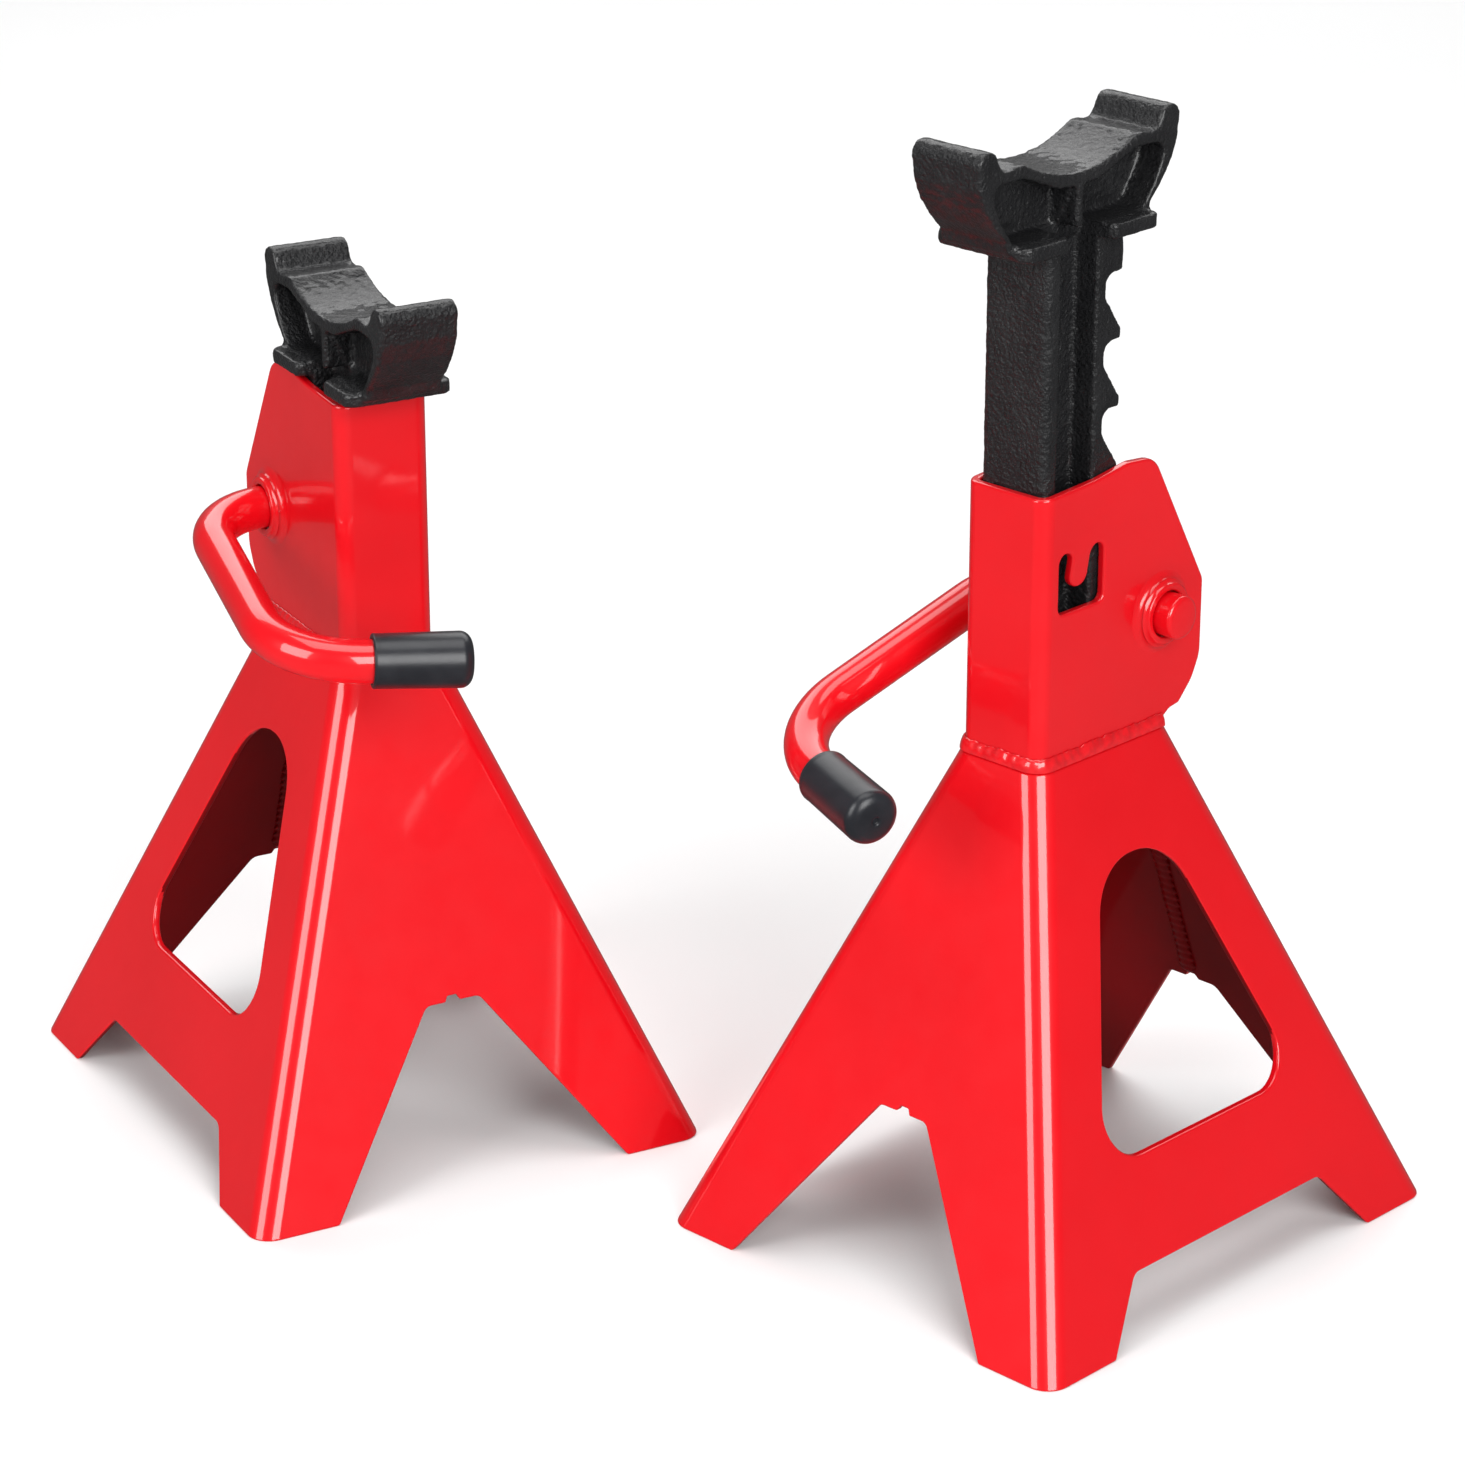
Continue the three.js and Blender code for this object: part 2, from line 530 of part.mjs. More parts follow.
// ---------------------------------------------------------------- the pair
function makeStand(side, place, raise, lift) {
  const stand = new THREE.Group();
  const base = baseShell();
  stand.add(
    piece(`${side}_base_half_pin_side`, baseHalf(base, 1), RED),
    piece(`${side}_base_half_grip_side`, baseHalf(base, -1), RED),
    piece(`${side}_seam_weld_front`, seamBead(), RED_WELD),
    piece(`${side}_seam_weld_rear`, seamBead().rotateZ(Math.PI), RED_WELD),
    piece(`${side}_column`, columnGeometry(), RED),
    piece(`${side}_column_foot_weld`, footWeld(), RED_WELD));

  const bar = piece(`${side}_ratchet_bar`, ratchetBar(), BLACK_CASTING);
  bar.position.z = SEAT_HEIGHT + raise;
  stand.add(bar);

  const handle = new THREE.Group();
  handle.position.set(0, PIVOT.y, PIVOT.z);
  handle.rotation.x = -lift;
  handle.add(
    piece(`${side}_handle_rod`, rodGeometry(), RED),
    piece(`${side}_handle_grip`, gripGeometry(), BLACK_RUBBER),
    piece(`${side}_pawl`, pawlGeometry(), RED),
    piece(`${side}_pawl_weld_pin_side`, pawlWeld(1), RED_WELD),
    piece(`${side}_pawl_weld_grip_side`, pawlWeld(-1), RED_WELD));
  stand.add(handle);

  stand.position.set(place.x, place.y, 0);
  stand.rotation.z = place.turn;
  return stand;
}

const pair = new THREE.Group();
pair.add(makeStand('left', LEFT_PLACE, 0, LEFT_LIFT));
pair.add(makeStand('right', RIGHT_PLACE, RIGHT_RAISE, 0));

export default pair;
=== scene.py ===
"""The looks of a pair of ratchet axle jack stands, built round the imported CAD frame.

Every shape is made in millimetres in one stand's own frame: window faces at +-X, V-cut faces at +-Y,
the rack and the ears at +Y, the floor at z = 0. It is then placed in metres by its stand's handle joint.
"""
import json
import math

import bmesh
import bpy
from mathutils import Matrix, Vector, noise


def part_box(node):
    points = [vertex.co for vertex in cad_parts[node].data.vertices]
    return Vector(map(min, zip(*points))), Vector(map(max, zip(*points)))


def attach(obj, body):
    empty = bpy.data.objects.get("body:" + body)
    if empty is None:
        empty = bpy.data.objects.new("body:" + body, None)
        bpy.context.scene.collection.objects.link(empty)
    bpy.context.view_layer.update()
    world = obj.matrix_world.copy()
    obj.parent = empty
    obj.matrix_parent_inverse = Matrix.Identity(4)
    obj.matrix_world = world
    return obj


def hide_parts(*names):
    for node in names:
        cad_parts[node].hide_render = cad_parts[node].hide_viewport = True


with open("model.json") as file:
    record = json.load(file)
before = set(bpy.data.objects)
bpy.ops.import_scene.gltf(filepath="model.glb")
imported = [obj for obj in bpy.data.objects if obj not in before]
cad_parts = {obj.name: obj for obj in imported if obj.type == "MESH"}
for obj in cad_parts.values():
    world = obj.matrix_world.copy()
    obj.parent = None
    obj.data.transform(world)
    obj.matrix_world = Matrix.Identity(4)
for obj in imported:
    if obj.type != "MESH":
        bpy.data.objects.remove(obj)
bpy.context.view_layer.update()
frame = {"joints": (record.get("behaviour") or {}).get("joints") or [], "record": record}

RECORD = frame["record"]
SIDES = ("left", "right")
MM = 0.001
FAR = 300                             # beyond any side, for cutting tools
CLEARANCE = 0.3                       # the gap between neighbouring pieces
HAIR = 0.05                           # keeps two surfaces out of one plane

# ---------------------------------------------------------------- sizes, in millimetres
BASE_FOOT = Vector((80.3, 93))
BASE_TOP = Vector((17.68, 31.61))
BASE_HEIGHT = 162.2
BASE_BEND = 8
SHEET = 2.5
WALL_ACROSS = SHEET * math.hypot(1, (BASE_FOOT.x - BASE_TOP.x) / BASE_HEIGHT)
BASE_EDGE = 0.75                      # how widely the cut edges are rounded
WINDOW_LOW = (47.3, 50.6, 12.5)      # half width, height, corner radius
WINDOW_HIGH = (15.3, 132, 21.5)
BAND_TOP = (45, 20.2, 5)
BAND_FOOT = 62
VEE_FOOT = 51.6
VEE_APEX = (9.4, 58, 3.5)
VEE_NOTCH = (2.6, 1.8)               # half width and rise of the notch at the joint
SEAM_FROM = 60.5
SEAM_TO = 146
SEAM_HALF = 3
SEAM_RISE = 1.5
SEAM_STEP = 0.6

COLUMN_HALF = 16
COLUMN_FRONT = -30
COLUMN_BACK = 27.6
COLUMN_WALL = 3
COLUMN_BEND = 5
COLUMN_EDGE = 0.95
COLUMN_FOOT = 149.5
COLUMN_TOP = 248.6
WELD_LOW = BASE_HEIGHT + CLEARANCE
WELD_HIGH = 166.4
WELD_LEG = 1.7
WELD_STEP = 0.7
PIVOT = Vector((0, 25.3, 200.3))
BOSS_HOLE = 7.3
BOSS_RISE = 3.8
SLOT_FRONT = -22.3
SLOT_BACK = -1.8
SLOT_LOW = 210.9
SLOT_HIGH = 229.8
SLOT_PRONG = 6.2
SLOT_CORNER = 2.6
TONGUE_TIP = 217.6
TONGUE_PRESS = 1.2

PITCH = 21                            # the ratchet bar is measured from its plate's underside
NOTCHES = 8
FIRST_NOTCH = 12.6
BAR_HALF = 12.6
BAR_FRONT = -26.6
BAR_FLANGE = 5.7
BAR_WEB = 4
BAR_LENGTH = 184
BAR_PLUG = 8
RACK_FRONT = -5
RACK_ROOT = -0.2
RACK_LAND = 7.15
TOOTH_CORNER = 3.8
TOOTH_ROOT_END = 7.1
TOOTH_RAMP_END = 17.85
PLATE_HALF = 18.3
PLATE_THICK = 4.4
PLATE_FRONT = (-43.2, -23.5)
PLATE_BACK = (-4.5, 17.2)
PLATE_NECK = 5
PLATE_CLEAR = PLATE_THICK + CLEARANCE   # where the saddle's hollows stop, over the plate
SADDLE_MIDDLE = -14.2
SADDLE_HALF = 13.3
SADDLE_WEB = 3.5
CRADLE_LOW = 21.4
RIDGE = Vector((25.2, 28.1))
LUG = Vector((40.4, 30.2))
LUG_RADIUS = 4.2
CAST_GRAIN = 0.75                     # the size of the casting's smallest shapes

ROD_RADIUS = 6.9                      # the handle is measured from its pivot, in the engaged position
ROD_START = Vector((25.7, 0, 0))
ELBOW_1 = Vector((-41, 0, 0))
ELBOW_2 = Vector((-56.2, -93.1, -34.9))
GRIP_TIP = Vector((0.3, -109.9, -41.5))
BEND_1 = 25
BEND_2 = 30
GRIP_AXIS = (GRIP_TIP - ELBOW_2).normalized()
GRIP_LENGTH = 31.5
GRIP_WALL = 5
GRIP_BORE = 7.05
GRIP_MOUTH = 8.6
GRIP_END = 8.9
GRIP_DOME = 4.2
PAWL_HALF = 10
PAWL_HUB = 11
PAWL_TOP = 23.8
PAWL_TIP = -22.15
PAWL_EDGE = 0.7
PAWL_WELD = (10.3, 12, 9.8)           # where it starts and ends along the rod, and its foot's radius


# ---------------------------------------------------------------- shape kit
def lerp(a, b, t):
    return a + (b - a) * t


def fillet(before, corner, after, radius):
    """The centre of a corner's arc, and the arms from there to the arc's start and end."""
    to_before = (before - corner).normalized()
    to_after = (after - corner).normalized()
    half = to_before.angle(to_after) / 2
    centre = corner + (to_before + to_after).normalized() * radius / math.sin(half)
    start = corner + to_before * radius / math.tan(half) - centre
    end = corner + to_after * radius / math.tan(half) - centre
    return centre, start, end


def outline(corners, steps=12):
    """Corners (u, v) or (u, v, radius) as points, with each rounded corner as an arc."""
    points = []
    for i, corner in enumerate(corners):
        here = Vector(corner[:2])
        if len(corner) == 2:
            points.append(here)
            continue
        before = Vector(corners[i - 1][:2])
        after = Vector(corners[(i + 1) % len(corners)][:2])
        centre, start, end = fillet(before, here, after, corner[2])
        sweep = math.atan2(start.x * end.y - start.y * end.x, start.dot(end))
        for k in range(steps + 1):
            points.append(Matrix.Rotation(sweep * k / steps, 2) @ start + centre)
    return points


def mirrored(corners):
    """Corners on the +u side, from the foot up, with their mirror images on the other side."""
    return [*corners, *[(-c[0], *c[1:]) for c in reversed(corners)]]


def new_object(name, data):
    thing = bpy.data.objects.new(name, data)
    bpy.context.scene.collection.objects.link(thing)
    return thing


def new_body(name, bm):
    mesh = bpy.data.meshes.new(name)
    bm.to_mesh(mesh)
    bm.free()
    return new_object(name, mesh)


def circle_turns(segments):
    return [2 * math.pi * k / segments for k in range(segments)]


def loft(name, rings, wrap=False):
    """A closed body through rings of points, capped at its ends, or joined end to end if wrap."""
    bm = bmesh.new()
    rows = [[bm.verts.new(p) for p in ring] for ring in rings]
    pairs = list(zip(rows, rows[1:]))
    if wrap:
        pairs.append((rows[-1], rows[0]))
    else:
        bm.faces.new(rows[0])
        bm.faces.new(rows[-1])
    for low, high in pairs:
        for i in range(len(low)):
            bm.faces.new((low[i - 1], low[i], high[i], high[i - 1]))
    bmesh.ops.recalc_face_normals(bm, faces=bm.faces)
    return new_body(name, bm)


def prism(name, axis, points, start, end):
    """An outline drawn out along an axis: (y, z) points along x, (x, z) along y, (x, y) along z."""
    at = "xyz".index(axis)
    rings = []
    for reach in (start, end):
        ring = []
        for u, v in points:
            place = [u, v]
            place.insert(at, reach)
            ring.append(Vector(place))
        rings.append(ring)
    return loft(name, rings)


def box(name, low, high):
    (x0, y0, z0), (x1, y1, z1) = low, high
    return prism(name, "z", [(x0, y0), (x1, y0), (x1, y1), (x0, y1)], z0, z1)


def turned(name, profile, segments=72, wrap=False):
    """A profile of (radius, x) points turned round the X axis."""
    rings = []
    for radius, x in profile:
        rings.append([Vector((x, radius * math.cos(a), radius * math.sin(a)))
                      for a in circle_turns(segments)])
    return loft(name, rings, wrap)


def moved(body, matrix):
    body.data.transform(matrix)
    if matrix.determinant() < 0:
        body.data.flip_normals()
    return body


def drop(body):
    """Removes a body and its mesh."""
    mesh = body.data
    bpy.data.objects.remove(body)
    bpy.data.meshes.remove(mesh)


def bake(body):
    """Turns the body's modifiers into its mesh."""
    old = body.data
    body.data = bpy.data.meshes.new_from_object(
        body.evaluated_get(bpy.context.evaluated_depsgraph_get()))
    body.modifiers.clear()
    bpy.data.meshes.remove(old)
    return body


def combine(body, tools, operation):
    """The boolean of the body with each tool in turn, which uses the tools up."""
    for tool in tools:
        modifier = body.modifiers.new("combine", "BOOLEAN")
        modifier.operation = operation
        modifier.solver = "MANIFOLD"
        modifier.object = tool
        bake(body)
        drop(tool)
    return body


def cut(body, *tools):
    return combine(body, tools, "DIFFERENCE")


def join(body, *tools):
    return combine(body, tools, "UNION")


def merge_flats(body):
    """Joins flat triangles into whole faces."""
    bm = bmesh.new()
    bm.from_mesh(body.data)
    bmesh.ops.dissolve_limit(bm, angle_limit=math.radians(0.3), verts=bm.verts, edges=bm.edges)
    bm.to_mesh(body.data)
    bm.free()
    return body


def soften(body, width, segments=3, angle=32):
    """Rounds every edge sharper than the angle."""
    merge_flats(body)
    bevel = body.modifiers.new("edges", "BEVEL")
    bevel.limit_method = "ANGLE"
    bevel.angle_limit = math.radians(angle)
    bevel.width = width
    bevel.segments = segments
    bevel.use_clamp_overlap = False
    bevel.loop_slide = False
    return bake(body)


def shade(body, angle=40):
    """Smooth shading that keeps flat faces flat and breaks at edges sharper than the angle."""
    body.data.shade_smooth()
    body.data.set_sharp_from_angle(angle=math.radians(angle))
    weighted = body.modifiers.new("normals", "WEIGHTED_NORMAL")
    weighted.keep_sharp = True
    return bake(body)


def roughened(body, *layers):
    """Moves each point along its normal by layers of (relief, lump size, seed) of smooth noise."""
    mesh = body.data
    points = [(v.co.copy(), v.normal.copy()) for v in mesh.vertices]
    moved_points = []
    for place, normal in points:
        for relief, size, seed in layers:
            place = place + normal * relief * noise.noise(place / size + Vector((seed, seed, seed)))
        moved_points.extend(place)
    mesh.vertices.foreach_set("co", moved_points)
    mesh.update()
    return body


# ---------------------------------------------------------------- stamped base
def base_halves(z):
    """The base's outer half widths at a height."""
    return BASE_FOOT.lerp(BASE_TOP, z / BASE_HEIGHT)


def frustum(name, low, high, shrink):
    """The base's pyramid between two heights, shrunk all round."""
    rings = []
    bend = max(BASE_BEND - shrink, 1)
    for z in (low, high):
        half = base_halves(z) - Vector((shrink, shrink))
        corners = mirrored([(half.x, -half.y, bend), (half.x, half.y, bend)])
        rings.append([Vector((x, y, z)) for x, y in outline(corners)])
    return loft(name, rings)


def column_sleeve():
    """The room the column takes up in the base, with a clearance round it."""
    half = COLUMN_HALF + CLEARANCE
    front = COLUMN_FRONT - CLEARANCE
    back = COLUMN_BACK + CLEARANCE
    plan = outline([(-half, front, COLUMN_BEND), (half, front, COLUMN_BEND), (half, back), (-half, back)])
    return prism("sleeve", "z", plan, COLUMN_FOOT - CLEARANCE, FAR)


def stamped_base():
    """The base's shell with its windows, foot bands and V cuts, before it is parted."""
    margin = 3
    window = mirrored([WINDOW_LOW, WINDOW_HIGH])
    under_band = mirrored([(BAND_FOOT, -margin), (BAND_FOOT, 0), BAND_TOP])
    apex_half, apex, apex_round = VEE_APEX
    notch_half, notch_rise = VEE_NOTCH
    vee = mirrored([(VEE_FOOT, -margin), (VEE_FOOT, 0), (apex_half, apex, apex_round),
                    (notch_half, apex, 0.8), (notch_half * 0.6, apex + notch_rise, 0.6)])
    base = frustum("base", 0, BASE_HEIGHT, 0)
    cut(base,
        frustum("hollow", -margin, BASE_HEIGHT + margin, WALL_ACROSS),
        prism("window", "x", outline(window, 16), -FAR, FAR),
        prism("under_band", "x", outline(under_band, 8), -FAR, FAR),
        prism("vee", "y", outline(vee, 6), -FAR, FAR))
    soften(base, BASE_EDGE)
    return merge_flats(cut(base, column_sleeve()))


def base_half(base, side):
    """The half of the base at +X or -X, parted at the welded joint."""
    bm = bmesh.new()
    bm.from_mesh(base.data)
    parted = bmesh.ops.bisect_plane(
        bm, geom=[*bm.verts, *bm.edges, *bm.faces],
        plane_co=(0, 0, 0), plane_no=(-side, 0, 0), clear_outer=True)
    rim = [e for e in parted["geom_cut"] if isinstance(e, bmesh.types.BMEdge)]
    bmesh.ops.edgeloop_fill(bm, edges=rim)
    return shade(new_body("base_half", bm))


def seam_bead(turn):
    """The rippled weld up the inside of the joint between the halves, front or, turned, rear."""
    bottom = Vector((0, WALL_ACROSS - base_halves(SEAM_FROM).y, SEAM_FROM))
    top = Vector((0, WALL_ACROSS - base_halves(SEAM_TO).y, SEAM_TO))
    along = (top - bottom).normalized()
    inward = Vector((0, along.z, -along.y))
    across = Vector((1, 0, 0))
    length = (top - bottom).length
    count = round(length / SEAM_STEP)
    rings = []
    for i in range(count + 1):
        s = length * i / count
        end = min(1, s / 2.5, (length - s) / 2.5)
        size = math.sqrt(max(end, 0.05)) * (1 + 0.16 * noise.noise(Vector((s / 9, 0, turn))))
        ring = []
        for k in range(13):
            a = math.pi * k / 12
            ripple = 0.12 * math.sin(2 * math.pi * (s - 1.4 * math.sin(a)) / 2.9)
            rise = (SEAM_RISE + ripple) * math.sin(a) * size
            ring.append(bottom + along * s + inward * (rise + HAIR)
                        + across * (SEAM_HALF * math.cos(a) * size * (1 + ripple)))
        rings.append(ring)
    bead = moved(loft("seam_bead", rings), Matrix.Rotation(turn, 4, "Z"))
    return shade(bead, 60)


# ---------------------------------------------------------------- column
def column_side():
    """The column's side view, with the ear that stands out behind."""
    front = COLUMN_FRONT - 1
    return outline([
        (front, COLUMN_FOOT), (COLUMN_BACK, COLUMN_FOOT),
        (COLUMN_BACK, 163.5, 2), (32, 166.5, 3), (36.5, 167.2), (42.6, 173.6, 12), (46.1, 181, 12),
        (46.1, 206, 6), (21, 250.8, 9), (9, 252, 10), (-6, 250, 30), (front, COLUMN_TOP),
    ], 10)


def column_plan():
    """The column's section: a front sheet and two cheeks, open at the back."""
    inner = COLUMN_HALF - COLUMN_WALL
    inner_front = COLUMN_FRONT + COLUMN_WALL
    inner_bend = COLUMN_BEND - COLUMN_WALL
    rear = 60
    return outline([
        (-COLUMN_HALF, COLUMN_FRONT, COLUMN_BEND), (COLUMN_HALF, COLUMN_FRONT, COLUMN_BEND),
        (COLUMN_HALF, rear), (inner, rear),
        (inner, inner_front, inner_bend), (-inner, inner_front, inner_bend),
        (-inner, rear), (-COLUMN_HALF, rear),
    ], 12)


def guide_slot():
    """The U-shaped guide slot through the pin side's cheek; the tongue inside the U stays on."""
    end = SLOT_PRONG / 2 - HAIR
    tongue_front = SLOT_FRONT + SLOT_PRONG
    tongue_back = SLOT_BACK - SLOT_PRONG
    tip = (tongue_back - tongue_front) / 2 - HAIR
    return prism("slot", "x", outline([
        (SLOT_FRONT, SLOT_LOW, SLOT_CORNER), (SLOT_BACK, SLOT_LOW, SLOT_CORNER),
        (SLOT_BACK, SLOT_HIGH, end), (tongue_back, SLOT_HIGH, end),
        (tongue_back, TONGUE_TIP, tip), (tongue_front, TONGUE_TIP, tip),
        (tongue_front, SLOT_HIGH, end), (SLOT_FRONT, SLOT_HIGH, end),
    ], 10), 0, FAR)


def press_tongue(body):
    """Leans the tongue inward from its root, on level rows of points cut across the sheet."""
    bm = bmesh.new()
    bm.from_mesh(body.data)
    rows = 8
    lean = SLOT_HIGH - TONGUE_TIP - 1
    for k in range(rows + 1):
        level = SLOT_HIGH - lean * k / rows
        bmesh.ops.bisect_plane(bm, geom=[*bm.verts, *bm.edges, *bm.faces],
                               plane_co=(0, 0, level), plane_no=(0, 0, 1))
    reach = SLOT_PRONG - 1
    for v in bm.verts:
        inside = SLOT_FRONT + reach < v.co.y < SLOT_BACK - reach and v.co.x > 0
        if inside and SLOT_LOW + 3 < v.co.z < SLOT_HIGH:
            t = min(1, (SLOT_HIGH - v.co.z) / lean)
            v.co.x -= TONGUE_PRESS * (1 - math.cos(math.pi * t)) / 2
    bm.to_mesh(body.data)
    bm.free()
    return body


def boss_flare(side):
    """The collar drawn out of a cheek round the rod: a soft root, a shoulder and a rounded rim."""
    face = COLUMN_HALF + BOSS_RISE
    root, draw_in, draw_up = 14, 3.4, 2.1
    rim_inner, rim = 8.95, 0.9
    steps = 10
    profile = [(14.2, COLUMN_HALF - 0.6)]
    for k in range(steps + 1):
        a = math.pi / 2 * k / steps
        profile.append((root - draw_in * math.sin(a),
                        COLUMN_HALF - 0.06 + draw_up * (1 - math.cos(a))))
    profile += [(10.45, COLUMN_HALF + 2.2), (10.2, COLUMN_HALF + 2.42), (9.95, COLUMN_HALF + 2.55)]
    for k in range(steps + 1):
        a = math.pi / 2 * k / steps
        profile.append((rim_inner + rim * math.cos(a), face - rim + rim * math.sin(a)))
    flare = turned("flare", profile, 96)
    place = Matrix.Translation(PIVOT)
    if side < 0:
        place = place @ Matrix.Rotation(math.pi, 4, "Z")
    return moved(flare, place)


def column():
    reach = COLUMN_HALF + BOSS_RISE + 1
    hole = turned("hole", [(BOSS_HOLE, -reach), (BOSS_HOLE, reach)], 96)
    moved(hole, Matrix.Translation(PIVOT))
    body = prism("column", "z", column_plan(), COLUMN_FOOT, 260)
    combine(body, [prism("side", "x", column_side(), -FAR, FAR)], "INTERSECT")
    cut(body, guide_slot())
    join(body, boss_flare(1), boss_flare(-1))
    cut(body, hole)
    return shade(press_tongue(soften(body, COLUMN_EDGE, 4)))


def foot_weld():
    """The lumpy fillet weld that runs round the column's foot, open at the back as the column is."""
    clear = COLUMN_HALF + 0.1
    front = COLUMN_FRONT - 0.1
    back = COLUMN_BACK + 1.5
    bend = COLUMN_BEND + 0.1
    path = outline([(clear, back), (clear, front, bend), (-clear, front, bend), (-clear, back)], 12)
    walk = [path[0]]
    for start, end in zip(path, path[1:]):
        count = max(1, math.ceil((end - start).length / WELD_STEP))
        walk += [start.lerp(end, k / count) for k in range(1, count + 1)]
    rings = []
    s = 0
    total = sum((b - a).length for a, b in zip(walk, walk[1:]))
    for i, here in enumerate(walk):
        before = walk[max(i - 1, 0)]
        after = walk[min(i + 1, len(walk) - 1)]
        s += (here - before).length
        along = (after - before).normalized()
        outward = Vector((-along.y, along.x))
        if outward.dot(here) < 0:
            outward = -outward
        end = min(1, s / 1.8 + 0.3, (total - s) / 1.8 + 0.3)
        lumps = 0.3 * noise.noise(Vector((s / 7.5, 3, 0)))
        swell = 1 + lumps + 0.16 * noise.noise(Vector((s / 2.6, 9, 0)))
        ring = [Vector((*here, WELD_LOW - 0.25))]
        for k in range(13):
            a = math.pi / 2 * k / 12
            ripple = 1 + 0.07 * math.sin(2 * math.pi * (s - 1.2 * math.sin(2 * a)) / 3.4)
            reach = WELD_LEG * math.cos(a) ** 1.1 * end * lerp(1, swell * ripple, math.sin(a))
            rise = (WELD_HIGH - WELD_LOW) * math.sin(a) ** 1.1 * lerp(1, swell * ripple, 0.5) * end
            spot = here + outward * min(reach, WELD_LEG + 0.2 * math.sin(2 * a))
            ring.append(Vector((*spot, WELD_LOW + rise)))
        rings.append(ring)
    return shade(loft("foot_weld", rings), 55)


# ---------------------------------------------------------------- ratchet bar and saddle
def rack_outline():
    """The rack's side view: a level bearing face over each notch, a hollow root and a ramp out."""
    points = [(RACK_FRONT, -BAR_LENGTH), (RACK_FRONT, 1), (RACK_LAND, 1)]
    for k in range(NOTCHES):
        bearing = -FIRST_NOTCH - k * PITCH
        points.append((RACK_LAND, bearing))
        for j in range(7):
            t = j / 6
            points.append((RACK_ROOT + TOOTH_CORNER * (1 - t) ** 2, bearing - TOOTH_CORNER * t ** 2))
        points.append((RACK_ROOT, bearing - TOOTH_ROOT_END))
        if k < NOTCHES - 1:
            points.append((RACK_LAND, bearing - TOOTH_RAMP_END))
    points.append((RACK_ROOT, -BAR_LENGTH))
    return points


def saddle_half_outline(side):
    """Half of the saddle's end view, from the middle of the cradle over the lug down to the plate."""
    rise = RIDGE.y - CRADLE_LOW
    radius = (RIDGE.x ** 2 + rise ** 2) / (2 * rise)
    points = []
    for k in range(13):
        y = RIDGE.x * k / 12
        points.append((y, CRADLE_LOW + radius - math.sqrt(radius ** 2 - y ** 2)))
    points += [(RIDGE.x + 2.2, RIDGE.y - 0.1), (LUG.x - 8.8, RIDGE.y - 0.9), (LUG.x - 6, RIDGE.y - 0.3)]
    for k in range(15):
        angle = math.radians(168 - k * 13.5)
        points.append((LUG.x + LUG_RADIUS * math.cos(angle), LUG.y + LUG_RADIUS * math.sin(angle)))
    points += [(43.6, 22.9), (40.8, 16.6), (36.4, 10.5), (32, 6.1), (30.8, 2)]
    return [(SADDLE_MIDDLE + side * y, z) for y, z in points]


def pocket(side):
    """The open pocket between the cradle, the arm and the plate on one side of the middle rib."""
    corners = [(1.5, PLATE_CLEAR), (1.5, 17.2, 1), (9, 17.8, 8), (20.3, 22.2, 14), (25.7, 24, 6),
               (33.5, 23.8, 5), (38.1, 22.7, 3.2), (37.1, 17.9, 8), (34.2, 12.3, 8),
               (28.8, PLATE_CLEAR, 5)]
    points = [(SADDLE_MIDDLE + side * u, v) for u, v in outline(corners, 8)]
    return prism("pocket", "x", points, -FAR, FAR)


def plate():
    """The plate that stops the bar on the column, narrowed between its front and back."""
    front, front_in = PLATE_FRONT
    back_in, back = PLATE_BACK
    corners = [(PLATE_HALF, front, 4), (PLATE_HALF, front_in, 2.5), (PLATE_NECK, front_in, 2),
               (PLATE_NECK, back_in, 2), (PLATE_HALF, back_in, 2.5), (PLATE_HALF, back, 4)]
    return prism("plate", "z", outline(mirrored(corners), 8), 0, PLATE_THICK)


def ratchet_bar():
    """The bar and its saddle as one casting with a pebbled skin."""
    half_outline = saddle_half_outline(-1)
    end_view = [*reversed(half_outline), *saddle_half_outline(1)[1:]]
    body = prism("bar", "x", end_view, -SADDLE_HALF, SADDLE_HALF)
    cut(body, pocket(1), pocket(-1),
        box("waist", (PLATE_NECK, PLATE_FRONT[1], -1), (FAR, PLATE_BACK[0], PLATE_CLEAR)),
        box("waist", (-FAR, PLATE_FRONT[1], -1), (-PLATE_NECK, PLATE_BACK[0], PLATE_CLEAR)))
    rib = [(5, 1), (5, PLATE_THICK), (12.8, 20)]
    flange = [(BAR_HALF, BAR_FRONT, 2.2), (BAR_HALF, BAR_FRONT + BAR_FLANGE)]
    join(body,
         plate(),
         box("neck", (-PLATE_NECK, PLATE_FRONT[1] - 1, 0), (PLATE_NECK, PLATE_BACK[0] + 1, PLATE_THICK)),
         prism("web", "x", end_view, -SADDLE_WEB, SADDLE_WEB),
         prism("rib", "y", mirrored(rib), SADDLE_MIDDLE - 2.3, SADDLE_MIDDLE + 2.3),
         prism("flange", "z", outline(mirrored(flange), 6), -BAR_LENGTH, 1),
         box("bar_web", (-BAR_WEB, BAR_FRONT + 1, -BAR_LENGTH), (BAR_WEB, RACK_FRONT + 1, 1)),
         box("plug", (-BAR_HALF, BAR_FRONT + BAR_FLANGE - 1, -BAR_LENGTH),
             (BAR_HALF, RACK_FRONT + 1, BAR_PLUG - BAR_LENGTH)),
         prism("rack", "x", rack_outline(), -BAR_HALF, BAR_HALF))
    remesh = body.modifiers.new("skin", "REMESH")
    remesh.mode = "VOXEL"
    remesh.voxel_size = CAST_GRAIN
    remesh.use_smooth_shade = True
    smooth = body.modifiers.new("smooth", "SMOOTH")
    smooth.factor = 0.5
    smooth.iterations = 3
    bake(body)
    roughened(body, (0.16, 2.2, 5), (0.1, 1.1, 11))
    body.data.shade_smooth()
    return body


